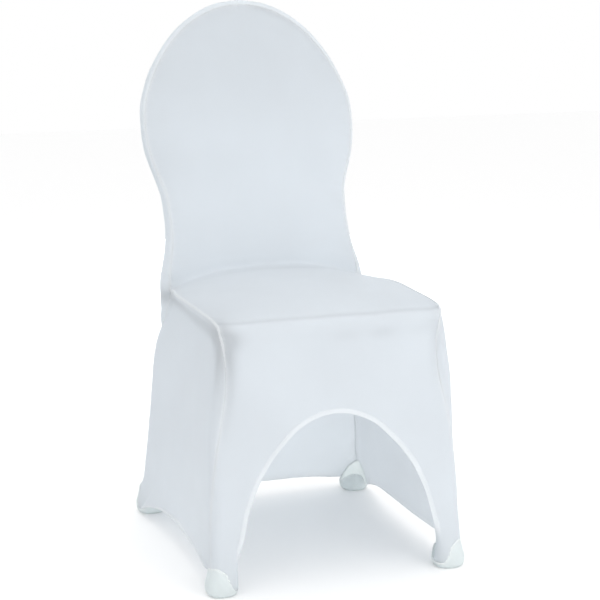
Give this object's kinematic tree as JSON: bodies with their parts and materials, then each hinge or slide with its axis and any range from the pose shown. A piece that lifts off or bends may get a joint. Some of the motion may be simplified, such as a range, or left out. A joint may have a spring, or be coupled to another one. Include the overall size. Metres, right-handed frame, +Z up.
{
  "type": "stretch chair cover",
  "caption": "White stretch spandex cover in the shape of a round-backed banquet chair, with a smooth seat, an arched front skirt and closed foot pockets.",
  "frame": {"origin": "inside the top of the backrest, where the chair back holds the cover up", "axes": "+Z up, -Y towards the front of the seat, +X to the right as seen from the front"},
  "size_m": [0.4566, 0.5658, 0.932],
  "materials": {
    "front_spandex": "smooth matt stretch knit, white",
    "back_spandex": "smooth matt stretch knit, white",
    "left_spandex": "smooth matt stretch knit, white",
    "right_spandex": "smooth matt stretch knit, white",
    "pocket_cloth": "denser milky white cloth with a faint sheen"
  },
  "bodies": {
    "root": {"front_panel": "front_spandex", "back_panel": "back_spandex", "side_panel_left": "left_spandex", "side_panel_right": "right_spandex", "foot_pocket_front_left": "pocket_cloth", "foot_pocket_front_right": "pocket_cloth", "foot_pocket_rear_left": "pocket_cloth", "foot_pocket_rear_right": "pocket_cloth"}
  },
  "joints": []
}
